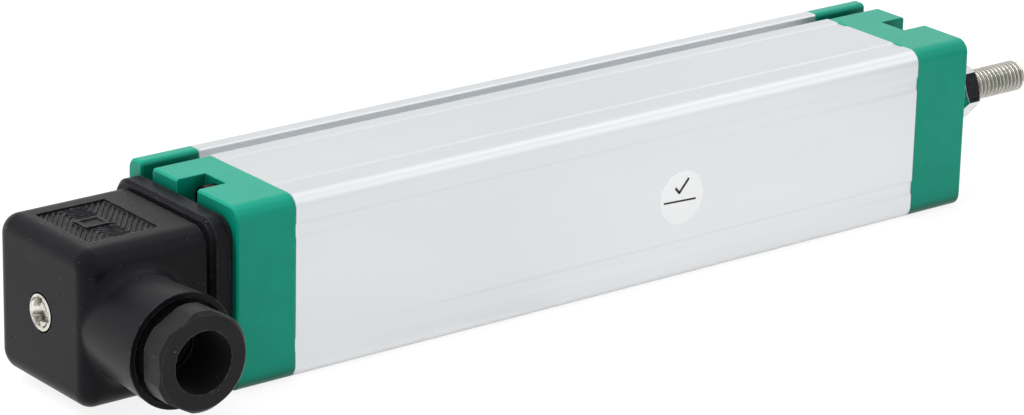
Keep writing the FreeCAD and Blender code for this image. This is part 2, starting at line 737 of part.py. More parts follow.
def clip_x():
    """Rear side of the clip in the carriage's pocket."""
    return clip_pocket_floor_x() - CLIP_END_PLAY - CLIP_THICKNESS


def push_rod():
    journal = JOURNAL_DIAMETER / 2
    clip_groove = CLIP_GROOVE_DIAMETER / 2
    shaft = ROD_DIAMETER / 2
    neck = THREAD_MINOR_DIAMETER / 2
    shoulder_x = CARRIAGE_FRONT_X + JOURNAL_END_PLAY
    end_x = clip_x() - ROD_END_LAND
    stations = [
        (end_x, 0),
        (end_x, journal),
        (clip_x(), journal),
        (clip_x(), clip_groove),
        (clip_x() + CLIP_THICKNESS, clip_groove),
        (clip_x() + CLIP_THICKNESS, journal),
        (shoulder_x, journal),
        (shoulder_x, shaft),
        (NUT_X - THREAD_START, shaft),
        (NUT_X - THREAD_START, neck),
        (NUT_FRONT_X, neck),
        (NUT_FRONT_X, shaft),
        (TIP_X - TIP_CHAMFER, shaft),
        (TIP_X, shaft - TIP_CHAMFER),
        (TIP_X, 0),
    ]
    return turned(stations, ROD_AXIS, ALONG)


def rod_lock_nut():
    """Thin hexagon nut with both faces chamfered."""
    corner = NUT_ACROSS_FLATS / math.sqrt(3)
    face = NUT_FACE_SHARE * NUT_ACROSS_FLATS / 2
    chamfer = (corner - face) * math.tan(math.radians(NUT_CHAMFER_ANGLE))
    stations = [
        (NUT_X, 0),
        (NUT_X, face),
        (NUT_X + chamfer, corner),
        (NUT_FRONT_X - chamfer, corner),
        (NUT_FRONT_X, face),
        (NUT_FRONT_X, 0),
    ]
    nut = hexagon(NUT_ACROSS_FLATS, NUT_X, NUT_FRONT_X, ROD_AXIS, ALONG, NUT_TURN)
    nut = nut.common(turned(stations, ROD_AXIS, ALONG))
    hole = THREAD_MINOR_DIAMETER / 2 + SEAT_CLEARANCE
    return nut.cut(disc(hole, NUT_X, NUT_FRONT_X, ROD_AXIS, ALONG))


def rod_retaining_clip():
    """Open spring clip in the groove near the rod's inner end."""
    inner = CLIP_GROOVE_DIAMETER / 2 + SEAT_CLEARANCE
    low = clip_x()
    high = low + CLIP_THICKNESS
    clip = ring(CLIP_DIAMETER / 2, inner, low, high, ROD_AXIS, ALONG)
    half = CLIP_OPENING / 2
    return clip.cut(box(low, high, -half, half, ROD_Z - CLIP_DIAMETER, ROD_Z))


# Fixed half of the connector

def at_pins(make):
    """Copies of a shape that stands at the first pin, turned about the connector's axis."""
    copies = []
    for step in range(PIN_COUNT):
        copy = make()
        copy.rotate(CONNECTOR_AXIS, ALONG, 360 / PIN_COUNT * step)
        copies.append(copy)
    return copies


def upright(x_low, x_high, offset, thickness, width):
    """Flat bar at the first pin, offset outwards from the pin's own middle plane."""
    low_y = PIN_CIRCLE / 2 + offset - thickness / 2
    return box(x_low, x_high, low_y, low_y + thickness, CONNECTOR_Z - width / 2, CONNECTOR_Z + width / 2)


def plug_base():
    """Block that enters the connector, with a flange outside on the cap."""
    block = prism(rectangle(CONNECTOR_Z, BASE_SIZE, BASE_SIZE, BASE_CORNER), BASE_TOP_X, REAR_FACE_X)
    flange = prism(rectangle(CONNECTOR_Z, FLANGE_SIZE, FLANGE_SIZE, FLANGE_CORNER), FLANGE_X, FLANGE_SEAT_X)
    flange = flange.makeChamfer(FLANGE_BEVEL, end_edges(flange, FLANGE_X))
    base = block.fuse(flange).removeSplitter()
    cutters = at_pins(lambda: upright(BASE_TOP_X, REAR_FACE_X, 0, PIN_THICKNESS, PIN_WIDTH))
    thread_radius = CENTRE_SCREW_DIAMETER / 2 + SCREW_CLEARANCE
    cutters.append(disc(thread_radius, BASE_TOP_X, REAR_FACE_X, CONNECTOR_AXIS, ALONG))
    hole_radius = BASE_SCREW_DIAMETER / 2 + SCREW_CLEARANCE
    head_radius = BASE_SCREW_HEAD_DIAMETER / 2 + SCREW_CLEARANCE
    for y, z in base_screw_places():
        place = V(0, y, z)
        cutters.append(disc(hole_radius, BASE_TOP_X, REAR_FACE_X, place, ALONG))
        cutters.append(disc(head_radius, BASE_TOP_X, BASE_TOP_X + BASE_SCREW_HEAD_HEIGHT, place, ALONG))
    return base.cut(cutters)


def base_pins():
    """Three flat pins with solder tails and the earth pin without one."""
    pins = at_pins(lambda: upright(PIN_END_X, REAR_FACE_X, 0, PIN_THICKNESS, PIN_WIDTH))
    tails = []
    for y, z, lead_z in wired_pin_places():
        tails.append(disc(TAIL_DIAMETER / 2, REAR_FACE_X, CHAMBER_X, V(0, y, z), ALONG))
    solids = []
    for pin in pins:
        for tail in tails:
            if pin.distToShape(tail)[0] < SEAT_CLEARANCE:
                pin = pin.fuse(tail)
        solids.append(pin)
    return Part.makeCompound(solids)


def base_screws():
    screws = []
    for y, z in base_screw_places():
        seat = V(BASE_TOP_X + BASE_SCREW_HEAD_HEIGHT, y, z)
        shank = BASE_HEIGHT - BASE_SCREW_HEAD_HEIGHT + BASE_SCREW_GRIP
        radius = BASE_SCREW_DIAMETER / 2
        head_radius = BASE_SCREW_HEAD_DIAMETER / 2
        screws.append(screw(radius, shank, head_radius, BASE_SCREW_HEAD_HEIGHT, seat, ALONG))
    return Part.makeCompound(screws)


def square_gasket(size, corner, low, high):
    """Flat gasket round the base's block."""
    frame = prism(rectangle(CONNECTOR_Z, size, size, corner), low, high)
    opening = BASE_SIZE + 2 * BASE_CLEARANCE
    return frame.cut(prism(rectangle(CONNECTOR_Z, opening, opening, BASE_CORNER), low, high))


def flange_gasket():
    size = FLANGE_SIZE - 2 * FLANGE_GASKET_INSET
    return square_gasket(size, FLANGE_CORNER - FLANGE_GASKET_INSET, FLANGE_SEAT_X, REAR_FACE_X)


def plug_gasket():
    size = CONNECTOR_SIZE - 2 * PLUG_GASKET_INSET
    return square_gasket(size, CONNECTOR_CORNER - PLUG_GASKET_INSET, MOUTH_X, FLANGE_X)


# Loose half of the connector

def grip_panel():
    """Cutter for the shallow panel in the connector's top, which leaves a rimmed plate standing in it."""
    top = CONNECTOR_Z + CONNECTOR_SIZE / 2
    low_x = CONNECTOR_FACE_X + GRIP_PANEL_SETBACK
    middle_x = low_x + GRIP_PLATE_SETBACK + GRIP_PLATE_LENGTH / 2
    half_width = GRIP_PANEL_WIDTH / 2
    panel = box(low_x, low_x + GRIP_PANEL_LENGTH, -half_width, half_width, top - GRIP_PANEL_DEPTH, top)

    def plate(inset, depth):
        reach = GRIP_PLATE_LENGTH / 2 - inset
        half = GRIP_PLATE_WIDTH / 2 - inset
        return box(middle_x - reach, middle_x + reach, -half, half, top - depth, top)

    return panel.cut(plate(0, GRIP_PANEL_DEPTH).cut(plate(GRIP_PLATE_RIM, GRIP_PLATE_RECESS)))


def gland_boss():
    """Boss for the gland: a cone from the connector's axis that widens outwards."""
    slope = GLAND_BOSS_FLARE / (GLAND_BOSS_REACH - CONNECTOR_SIZE / 2)
    axis_radius = GLAND_BOSS_RADIUS - slope * GLAND_BOSS_REACH
    stations = [
        (0, 0),
        (0, axis_radius),
        (GLAND_BOSS_REACH, GLAND_BOSS_RADIUS),
        (GLAND_BOSS_REACH, 0),
    ]
    return turned(stations, GLAND_AXIS, SIDE)


def boss_root_edges(shell):
    """Arcs where the boss meets the flat side of the connector."""
    side_y = -CONNECTOR_SIZE / 2
    arcs = [(edge, edge.BoundBox) for edge in shell.Edges if isinstance(edge.Curve, Part.Circle)]
    return [arc for arc, span in arcs if abs(span.YMin - side_y) + abs(span.YMax - side_y) < SAME_PLANE]


def connector_housing():
    """Square shell with a flaring round boss for the cable gland on its side."""
    square = rectangle(CONNECTOR_Z, CONNECTOR_SIZE, CONNECTOR_SIZE, CONNECTOR_CORNER)
    shell = prism(square, CONNECTOR_FACE_X, MOUTH_X)
    shell = shell.makeFillet(CONNECTOR_EDGE, end_edges(shell, CONNECTOR_FACE_X))
    shell = shell.fuse(gland_boss()).removeSplitter()
    shell = shell.makeFillet(GLAND_BOSS_FILLET, boss_root_edges(shell))
    cavity = rectangle(CONNECTOR_Z, CAVITY_SIZE, CAVITY_SIZE, BASE_CORNER)
    recess_floor = GLAND_BOSS_REACH - GLAND_RECESS_DEPTH
    gland_stations = [
        (0, 0),
        (0, GLAND_INLET_DIAMETER / 2),
        (GLAND_SEAT_REACH, GLAND_INLET_DIAMETER / 2),
        (GLAND_SEAT_REACH, GLAND_THREAD_DIAMETER / 2),
        (recess_floor, GLAND_THREAD_DIAMETER / 2),
        (recess_floor, GLAND_RECESS_DIAMETER / 2),
        (GLAND_BOSS_REACH, GLAND_RECESS_DIAMETER / 2),
        (GLAND_BOSS_REACH, 0),
    ]
    head_radius = CENTRE_SCREW_HEAD_DIAMETER / 2 + SCREW_HOLE_CLEARANCE
    head_depth = CENTRE_SCREW_HEAD_HEIGHT
    hole_radius = CENTRE_SCREW_DIAMETER / 2 + SCREW_CLEARANCE
    return shell.cut([
        prism(cavity, CONNECTOR_FACE_X + screw_wall(), MOUTH_X),
        turned(gland_stations, GLAND_AXIS, SIDE),
        disc(head_radius, CONNECTOR_FACE_X, CONNECTOR_FACE_X + head_depth, CONNECTOR_AXIS, ALONG),
        disc(hole_radius, CONNECTOR_FACE_X, MOUTH_X, CONNECTOR_AXIS, ALONG),
        grip_panel(),
    ])


def screw_wall():
    """Thickness of the connector's outer wall, which holds the screw head and its seal."""
    return CENTRE_SCREW_HEAD_HEIGHT + SCREW_SEAT_WALL


def connector_screw():
    head_seat = V(CONNECTOR_FACE_X + CENTRE_SCREW_HEAD_HEIGHT - SCREW_SEAL_THICKNESS, 0, CONNECTOR_Z)
    shank = BASE_TOP_X + CENTRE_SCREW_ENGAGEMENT - head_seat.x
    radius = CENTRE_SCREW_DIAMETER / 2
    head_radius = CENTRE_SCREW_HEAD_DIAMETER / 2
    return screw(radius, shank, head_radius, CENTRE_SCREW_HEAD_HEIGHT, head_seat, ALONG)


def connector_screw_seal():
    high = CONNECTOR_FACE_X + CENTRE_SCREW_HEAD_HEIGHT
    low = high - SCREW_SEAL_THICKNESS
    outer = CENTRE_SCREW_HEAD_DIAMETER / 2
    inner = CENTRE_SCREW_DIAMETER / 2 + SEAT_CLEARANCE
    return ring(outer, inner, low, high, CONNECTOR_AXIS, ALONG)


def fork_end_x():
    """Inner side of the web that joins a contact's two leaves."""
    return PIN_END_X - FORK_END_GAP


def fork_pocket_thickness():
    return PIN_THICKNESS + 2 * (FORK_PLAY + FORK_THICKNESS + FORK_PLAY)


def terminal_block():
    size = CAVITY_SIZE - 2 * BLOCK_CLEARANCE
    block = prism(rectangle(CONNECTOR_Z, size, size, BASE_CORNER), BLOCK_REAR_X, BLOCK_FRONT_X)
    pocket_x = fork_end_x() - FORK_THICKNESS
    pocket_width = PIN_WIDTH + 2 * FORK_PLAY
    cutters = at_pins(lambda: upright(pocket_x, BLOCK_FRONT_X, 0, fork_pocket_thickness(), pocket_width))
    hole_radius = TERMINAL_SCREW_DIAMETER / 2 + SCREW_CLEARANCE
    pin_place = V(0, PIN_CIRCLE / 2, CONNECTOR_Z)
    cutters += at_pins(lambda: disc(hole_radius, BLOCK_REAR_X, pocket_x, pin_place, ALONG))
    centre_radius = CENTRE_SCREW_DIAMETER / 2 + SCREW_HOLE_CLEARANCE
    cutters.append(disc(centre_radius, BLOCK_REAR_X, BLOCK_FRONT_X, CONNECTOR_AXIS, ALONG))
    return block.cut(cutters)


def fork():
    """Forked contact: two leaves beside the pin, joined behind its end."""
    offset = PIN_THICKNESS / 2 + FORK_PLAY + FORK_THICKNESS / 2
    web_x = fork_end_x()
    mouth_x = BLOCK_FRONT_X - FORK_SETBACK
    web = upright(web_x - FORK_THICKNESS, web_x, 0, 2 * offset + FORK_THICKNESS, PIN_WIDTH)
    leaves = [upright(web_x, mouth_x, side * offset, FORK_THICKNESS, PIN_WIDTH) for side in (1, -1)]
    return web.fuse(leaves).removeSplitter()


def socket_contacts():
    return Part.makeCompound(at_pins(fork))


def terminal_screws():
    seat = V(BLOCK_REAR_X, PIN_CIRCLE / 2, CONNECTOR_Z)
    shank = fork_end_x() - FORK_THICKNESS - BLOCK_REAR_X
    radius = TERMINAL_SCREW_DIAMETER / 2
    head_radius = TERMINAL_SCREW_HEAD_DIAMETER / 2
    head_height = TERMINAL_SCREW_HEAD_HEIGHT
    return Part.makeCompound(at_pins(lambda: screw(radius, shank, head_radius, head_height, seat, ALONG)))


# Cable gland

def gland_nut():
    """Hexagon compression nut with turned corners, a bevelled face and a shank that enters the boss."""
    low = GLAND_NUT_SEAT
    high = GLAND_NUT_REACH
    corner = GLAND_NUT_CORNER_DIAMETER / 2
    stations = [
        (low, 0),
        (low, corner),
        (high - GLAND_NUT_CHAMFER, corner),
        (high, GLAND_NUT_FACE_DIAMETER / 2),
        (high, 0),
    ]
    head = hexagon(GLAND_NUT_ACROSS_FLATS, low, high, GLAND_AXIS, SIDE, 0)
    head = head.common(turned(stations, GLAND_AXIS, SIDE))
    shank_radius = GLAND_THREAD_DIAMETER / 2 - SCREW_CLEARANCE
    nut = head.fuse(disc(shank_radius, low - GLAND_NUT_SHANK, low, GLAND_AXIS, SIDE))
    return nut.cut(disc(GLAND_HOLE_DIAMETER / 2, low - GLAND_NUT_SHANK, high, GLAND_AXIS, SIDE))


def gland_washer_reach():
    """Distance of the washer's outer side from the connector's axis."""
    return GLAND_NUT_SEAT - GLAND_NUT_SHANK


def gland_washer():
    high = gland_washer_reach()
    outer = GLAND_THREAD_DIAMETER / 2 - SCREW_CLEARANCE
    return ring(outer, GLAND_WASHER_HOLE / 2, high - GLAND_WASHER_THICKNESS, high, GLAND_AXIS, SIDE)


def gland_seal():
    high = gland_washer_reach() - GLAND_WASHER_THICKNESS
    outer = GLAND_THREAD_DIAMETER / 2 - SCREW_CLEARANCE
    return ring(outer, GLAND_SEAL_HOLE / 2, GLAND_SEAT_REACH, high, GLAND_AXIS, SIDE)


PIECES = {
    "extruded_housing": extruded_housing(),
    "front_end_cap": front_end_cap(),
    "rear_end_cap": rear_end_cap(),
    "front_cap_gasket": cap_gasket(FRONT_X, -1),
    "rear_cap_gasket": cap_gasket(REAR_X, 1),
    "front_cap_screws": cap_screws(FRONT_X, FRONT_FACE_X),
    "rear_cap_screws": cap_screws(REAR_X, REAR_FACE_X),
    "rod_bushing": rod_bushing(),
    "rod_wiper_seal": rod_wiper_seal(),
    "front_bumper": front_bumper(),
    "rear_bumper": rear_bumper(),
    "element_board": element_board(),
    "resistive_track": resistive_track(),
    "collector_track": collector_track(),
    "wiper_carriage": wiper_carriage(),
    "wiper_contacts": wiper_contacts(),
    "push_rod": push_rod(),
    "rod_lock_nut": rod_lock_nut(),
    "rod_retaining_clip": rod_retaining_clip(),
    "lead_wires": lead_wires(),
    "plug_base": plug_base(),
    "base_pins": base_pins(),
    "base_screws": base_screws(),
    "flange_gasket": flange_gasket(),
    "plug_gasket": plug_gasket(),
    "connector_housing": connector_housing(),
    "connector_screw": connector_screw(),
    "connector_screw_seal": connector_screw_seal(),
    "terminal_block": terminal_block(),
    "socket_contacts": socket_contacts(),
    "terminal_screws": terminal_screws(),
    "gland_nut": gland_nut(),
    "gland_washer": gland_washer(),
    "gland_seal": gland_seal(),
}

os.makedirs("parts", exist_ok=True)
for name, shape in PIECES.items():
    shape.exportStep(os.path.join("parts", name + ".step"))
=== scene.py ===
import json
import math

import bmesh
import bpy
from mathutils import Matrix, Vector

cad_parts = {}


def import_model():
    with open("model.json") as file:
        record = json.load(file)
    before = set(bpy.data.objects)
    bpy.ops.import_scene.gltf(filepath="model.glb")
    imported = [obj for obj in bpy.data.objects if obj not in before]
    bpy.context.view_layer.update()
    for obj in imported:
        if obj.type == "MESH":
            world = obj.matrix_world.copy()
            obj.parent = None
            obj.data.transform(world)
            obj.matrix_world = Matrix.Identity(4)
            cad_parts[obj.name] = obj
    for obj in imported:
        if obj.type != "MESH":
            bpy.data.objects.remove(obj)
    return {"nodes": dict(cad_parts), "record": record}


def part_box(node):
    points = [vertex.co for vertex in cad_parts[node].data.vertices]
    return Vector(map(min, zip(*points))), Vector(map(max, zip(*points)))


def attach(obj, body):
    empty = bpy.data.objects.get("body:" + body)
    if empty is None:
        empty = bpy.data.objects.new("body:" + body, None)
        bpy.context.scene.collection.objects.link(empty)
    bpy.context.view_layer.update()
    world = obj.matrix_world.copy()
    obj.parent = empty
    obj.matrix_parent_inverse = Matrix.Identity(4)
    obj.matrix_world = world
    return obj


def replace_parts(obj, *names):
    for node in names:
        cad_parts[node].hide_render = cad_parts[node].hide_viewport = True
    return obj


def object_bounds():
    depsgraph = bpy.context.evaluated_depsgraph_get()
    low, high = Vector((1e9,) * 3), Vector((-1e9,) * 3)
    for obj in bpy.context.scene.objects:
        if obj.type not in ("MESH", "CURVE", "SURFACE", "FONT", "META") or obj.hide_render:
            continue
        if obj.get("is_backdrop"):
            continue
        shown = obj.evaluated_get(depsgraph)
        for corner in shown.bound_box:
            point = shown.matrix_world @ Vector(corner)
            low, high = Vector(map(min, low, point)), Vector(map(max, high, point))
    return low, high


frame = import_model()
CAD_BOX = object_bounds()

# Rod-type linear position sensor: finish, threads, grip ribs, screw head and sticker.
# Lengths are written in millimetres and turned into metres with MM.
MM = 0.001

# Camera, as read from the photograph
IMAGE_WIDTH = 1024
FOCAL_PIXELS = 4182.6
CAMERA_AZIMUTH = -38.47
CAMERA_ELEVATION = 19.656
CAMERA_ROLL = 1.38
CAMERA_DISTANCE = 747.4 * MM
CAMERA_TARGET = Vector((-11.945, 0.0, 14.117)) * MM
SENSOR_WIDTH = 36.0
CLIP_START = 10 * MM

# Rod's thread
THREAD_PITCH = 1.0 * MM
THREAD_DEPTH = 0.61 * MM
THREAD_ROOT_SHARE = 0.12
THREAD_STEPS = 12
THREAD_TURNS_BEHIND_NUT = 2
ROD_SEGMENTS = 64
TIP_CHAMFER = 0.65 * MM
JOURNAL_RADIUS = 2.0 * MM

# Middle screw of the connector
RECESS_WIDTH = 1.8 * MM
RECESS_REACH = 2.9 * MM
RECESS_DEPTH = 1.9 * MM
RECESS_WALL = 0.14 * MM
RECESS_RUN = 0.5
HEAD_CROWN = 0.7 * MM
RIM_GROOVE_PLACE = 0.8
RIM_GROOVE_REACH = 0.07
RIM_GROOVE_DEPTH = 0.32 * MM
HEAD_STEPS = 44
HEAD_SEGMENTS = 96
HEAD_SMOOTH_ANGLE = 30
SHANK_RADIUS = 1.5 * MM

# Grip ribs on the connector's top
PANEL_LENGTH = 13.8 * MM
PANEL_WIDTH = 16.5 * MM
PANEL_DEPTH = 0.5 * MM
PANEL_TO_MOUTH = 5.45 * MM
PLATE_LENGTH = 4.75 * MM
PLATE_WIDTH = 3.95 * MM
PLATE_SETBACK = 3.65 * MM
RIB_COLUMNS = 3
RIB_PITCH = 1.45 * MM
RIB_SLOPE = 1.25
RIB_WIDTH = 0.55 * MM
RIB_HEIGHT = 0.28 * MM
RIB_MARGIN = 0.25 * MM
RIB_STEPS = 60
RIB_SMOOTH_ANGLE = 20

# Studio: floor, soft light, dark card and lamps, whose ways point from the part to the lamp
FLOOR_HALF_WIDTH = 4.0
FLOOR_GREY = 0.8
FLOOR_SHADOW_GREY = 0.2
FLOOR_GLOW = 0.86
SOFT_LIGHT = 0.73
FLAG_WAY = (0.589, -0.794, 0.148)
FLAG_DISTANCE = 60 * MM
FLAG_WIDTH = 36 * MM
FLAG_HEIGHT = 26 * MM
KEY_WAY = (-0.38, 0.3, 0.87)
KEY_POWER = 10.8
KEY_DISTANCE = 1.0
KEY_SIZE = 1.0
GLINT_WAYS = {"edge_light": (0.586, -0.607, 0.537), "groove_light": (0.586, 0.02, 0.81)}
GLINT_POWER = 0.28
GLINT_DISTANCE = 0.8
GLINT_SIZE = 0.25
ROD_LIGHT_WAY = (0.586, -0.078, 0.806)
ROD_LIGHT_POWER = 14.0
ROD_LIGHT_DISTANCE = 0.9
ROD_LIGHT_SIZE = 0.7

# Sticker on the marked face
STICKER_X = 13.65 * MM
STICKER_Z = 15.75 * MM
STICKER_RADIUS = 5.0 * MM
STICKER_SEGMENTS = 72
STICKER_THICKNESS = 0.08 * MM
PRINT_THICKNESS = 0.02 * MM

# Line and tick on the sticker: strokes from (right, up) to (right, up) about its middle
LINE_WIDTH = 0.36 * MM
LINE_START = (-4.1 * MM, -0.46 * MM)
LINE_END = (3.4 * MM, -0.8 * MM)
TICK_WIDTH = 0.5 * MM
SHORT_ARM_START = (-1.5 * MM, 2.0 * MM)
SHORT_ARM_END = (-0.45 * MM, 0.85 * MM)
LONG_ARM_START = (-0.6 * MM, 0.9 * MM)
LONG_ARM_END = (1.6 * MM, 3.4 * MM)

# Edges and hollows that the materials find by themselves
BEVEL_SAMPLES = 6
OCCLUSION_SAMPLES = 8
LEAN_OF_FACE = 0.99
LEAN_OF_EDGE = 0.86
OPEN_SHARE_OF_FACE = 0.9
OPEN_SHARE_OF_HOLLOW = 0.45
SMOOTH_ANGLE = 35


# Colours and node helpers

def tone(red, green, blue):
    """Linear colour of an sRGB one that is written in steps of 255."""
    def linear(step):
        share = step / 255
        return share / 12.92 if share <= 0.04045 else ((share + 0.055) / 1.055) ** 2.4
    return (linear(red), linear(green), linear(blue), 1.0)


def add(material, kind, inputs=None, **properties):
    """New node with its properties set and its inputs linked or given a value."""
    tree = material.node_tree
    node = tree.nodes.new(kind)
    for key, value in properties.items():
        setattr(node, key, value)
    for key, value in (inputs or {}).items():
        if isinstance(value, bpy.types.NodeSocket):
            tree.links.new(value, node.inputs[key])
        else:
            node.inputs[key].default_value = value
    return node


def shaded(name, colour, **values):
    """Material with a Principled shader, its colour and plain values set on the sockets."""
    material = bpy.data.materials.new(name)
    material.use_nodes = True
    shader = material.node_tree.nodes["Principled BSDF"]
    shader.inputs["Base Color"].default_value = colour
    for key, value in values.items():
        shader.inputs[key.replace("_", " ")].default_value = value
    return material


def drive(material, socket, output):
    """Links an output to a socket of the material's shader."""
    shader = material.node_tree.nodes["Principled BSDF"]
    material.node_tree.links.new(output, shader.inputs[socket])


def grain(material, size, stretch=(1, 1, 1), detail=3.0):
    """Noise in object space with features of about the given size, drawn out along the axes."""
    place = add(material, "ShaderNodeTexCoord")
    scale = [1 / (size * factor) for factor in stretch]
    mapping = add(material, "ShaderNodeMapping", {"Vector": place.outputs["Object"], "Scale": scale})
    inputs = {"Vector": mapping.outputs["Vector"], "Scale": 1.0, "Detail": detail}
    return add(material, "ShaderNodeTexNoise", inputs).outputs["Fac"]


def spread(material, value, low, high, from_low=0.3, from_high=0.7):
    """The value's usual range mapped to low and high."""
    inputs = {"Value": value, "From Min": from_low, "From Max": from_high, "To Min": low, "To Max": high}
    return add(material, "ShaderNodeMapRange", inputs).outputs["Result"]


def blended(material, share, first, second):
    """Colour between two colours."""
    node = add(material, "ShaderNodeMix", data_type="RGBA")
    tree = material.node_tree
    tree.links.new(share, node.inputs["Factor"])
    for index, value in ((6, first), (7, second)):
        if isinstance(value, bpy.types.NodeSocket):
            tree.links.new(value, node.inputs[index])
        else:
            node.inputs[index].default_value = value
    return node.outputs[2]


def edge_share(material, radius):
    """1 on sharp edges and 0 on open faces, from how far the rounded normal leans from the true one."""
    rounded = add(material, "ShaderNodeBevel", {"Radius": radius}, samples=BEVEL_SAMPLES)
    true = add(material, "ShaderNodeNewGeometry")
    inputs = {0: rounded.outputs["Normal"], 1: true.outputs["Normal"]}
    lean = add(material, "ShaderNodeVectorMath", inputs, operation="DOT_PRODUCT")
    return spread(material, lean.outputs["Value"], 0, 1, LEAN_OF_FACE, LEAN_OF_EDGE)


def hollow_share(material, reach):
    """1 down in hollows and 0 on open faces."""
    inputs = {"Distance": reach}
    open_share = add(material, "ShaderNodeAmbientOcclusion", inputs, samples=OCCLUSION_SAMPLES)
    return spread(material, open_share.outputs["AO"], 0, 1, OPEN_SHARE_OF_FACE, OPEN_SHARE_OF_HOLLOW)


def product(material, first, second):
    """Two values multiplied."""
    return add(material, "ShaderNodeMath", {0: first, 1: second}, operation="MULTIPLY").outputs["Value"]


def surface(material, edge, height=None, depth=0.0):
    """Normal with softened edges, and with a bump where a height is given."""
    rounded = add(material, "ShaderNodeBevel", {"Radius": edge}, samples=BEVEL_SAMPLES)
    normal = rounded.outputs["Normal"]
    if height is not None:
        bump = {"Height": height, "Distance": depth, "Strength": 1.0, "Normal": normal}
        normal = add(material, "ShaderNodeBump", bump).outputs["Normal"]
    drive(material, "Normal", normal)


# Materials

def anodised_aluminium():
    """Matt anodised extrusion with faint drawing lines along its length; its grooves and hollows get painted
    light, turning pale and non-metallic.
    """
    material = shaded("anodised_aluminium", tone(223, 225, 227), Metallic=1.0)
    lines = grain(material, 0.5 * MM, (160, 1, 1))
    pores = grain(material, 0.18 * MM)
    cloud = grain(material, 22 * MM, (3, 1, 1))
    light = blended(material, spread(material, cloud, 0, 1), tone(220, 223, 225), tone(225, 227, 229))
    drawn = blended(material, spread(material, lines, 0, 0.05), light, tone(219, 222, 224))
    # Painted light: hollows are blended towards near-white and made non-metallic, standing in for light
    # reaching down into the grooves.
    painted_hollow_shading = hollow_share(material, 3 * MM)
    drive(material, "Base Color", blended(material, painted_hollow_shading, drawn, tone(250, 251, 252)))
    drive(material, "Metallic", spread(material, painted_hollow_shading, 1, 0, 0, 1))
    drive(material, "Roughness", spread(material, lines, 0.46, 0.48))
    surface(material, 0.15 * MM, pores, 0.004 * MM)
    return material


def green_plastic():
    """Moulded cap plastic, slightly mottled, with a painted highlight along its edges and painted shade in
    its notches and hollows.
    """
    material = shaded("green_plastic", tone(7, 146, 122), Specular_IOR_Level=0.15)
    mottle = grain(material, 3.5 * MM)
    fine = grain(material, 0.22 * MM)
    base = blended(material, spread(material, mottle, 0, 1), tone(5, 143, 119), tone(9, 148, 124))
    # Painted highlight: edges are blended towards a paler green.
    edge = spread(material, edge_share(material, 0.35 * MM), 0, 0.75, 0, 1)
    # Painted shade: hollows are blended towards a dark green.
    painted_hollow_shading = hollow_share(material, 5 * MM)
    painted_shade = blended(material, painted_hollow_shading, base, tone(3, 100, 82))
    drive(material, "Base Color", blended(material, edge, painted_shade, tone(40, 182, 148)))
    drive(material, "Roughness", spread(material, fine, 0.26, 0.38))
    surface(material, 0.35 * MM, fine, 0.006 * MM)
    return material


def black_plastic(name, dark, pale):
    """Glass-filled black moulding with an eroded grain, scuffed edges that are also lightened as a painted
    highlight, and a few pale specks.
    """
    material = shaded(name, dark, Specular_IOR_Level=0.1, Sheen_Weight=0.05, Sheen_Roughness=0.4)
    fine = grain(material, 0.25 * MM, detail=4.0)
    mottle = grain(material, 6 * MM)
    patchy_rub_and_highlight = spread(material, grain(material, 1.1 * MM), 0.15, 0.95, 0.4, 0.64)
    dusty = spread(material, grain(material, 5 * MM, detail=1.0), 0, 1, 0.5, 0.62)
    specks = spread(material, grain(material, 0.35 * MM, detail=0.0), 0, 1, 0.82, 0.86)
    base = blended(material, spread(material, mottle, 0, 1), dark, pale)
    # Edge lightening: partly scuffing, partly a painted highlight along edges and chamfers.
    edge_wear_and_highlight = product(material, edge_share(material, 0.3 * MM), patchy_rub_and_highlight)
    rubbed_and_highlit = blended(material, edge_wear_and_highlight, base, tone(96, 95, 98))
    speckled = blended(material, product(material, specks, dusty), rubbed_and_highlit, tone(120, 120, 122))
    drive(material, "Base Color", speckled)
    drive(material, "Roughness", spread(material, fine, 0.3, 0.44))
    surface(material, 0.3 * MM, fine, 0.012 * MM)
    return material


def black_rubber():
    """Dull rubber of the gaskets, seals and bumpers."""
    material = shaded("black_rubber", tone(26, 26, 27), Specular_IOR_Level=0.25)
    fine = grain(material, 0.3 * MM)
    colour = blended(material, spread(material, fine, 0, 1), tone(20, 20, 21), tone(31, 31, 32))
    drive(material, "Base Color", colour)
    drive(material, "Roughness", spread(material, fine, 0.75, 0.9))
    surface(material, 0.15 * MM, fine, 0.01 * MM)
    return material


def worked_metal(name, dull, bright, smooth, rough, line_size, stretch, edge, painted_hollow_shade=None):
    """Metal with tool marks drawn out along its axes, and with painted shade darkening its hollows if a
    colour is given.
    """
    material = shaded(name, bright, Metallic=1.0)
    lines = grain(material, line_size, stretch)
    colour = blended(material, spread(material, lines, 0, 1), dull, bright)
    # Painted shade: hollows are blended towards the given dark colour.
    if painted_hollow_shade is not None:
        colour = blended(material, hollow_share(material, 0.8 * MM), colour, painted_hollow_shade)
    drive(material, "Base Color", colour)
    drive(material, "Roughness", spread(material, lines, smooth, rough))
    surface(material, edge, lines, 0.002 * MM)
    return material


def moulded(name, first, second, smooth, rough, size):
    """Plain moulded or pressed material of the inner pieces."""
    material = shaded(name, first)
    fine = grain(material, size)
    drive(material, "Base Color", blended(material, spread(material, fine, 0, 1), first, second))
    drive(material, "Roughness", spread(material, fine, smooth, rough))
    surface(material, 0.1 * MM, fine, 0.004 * MM)
    return material


# How far tool marks are drawn out along each axis
TURNED = (1, 8, 8)
DRAWN = (30, 1, 1)

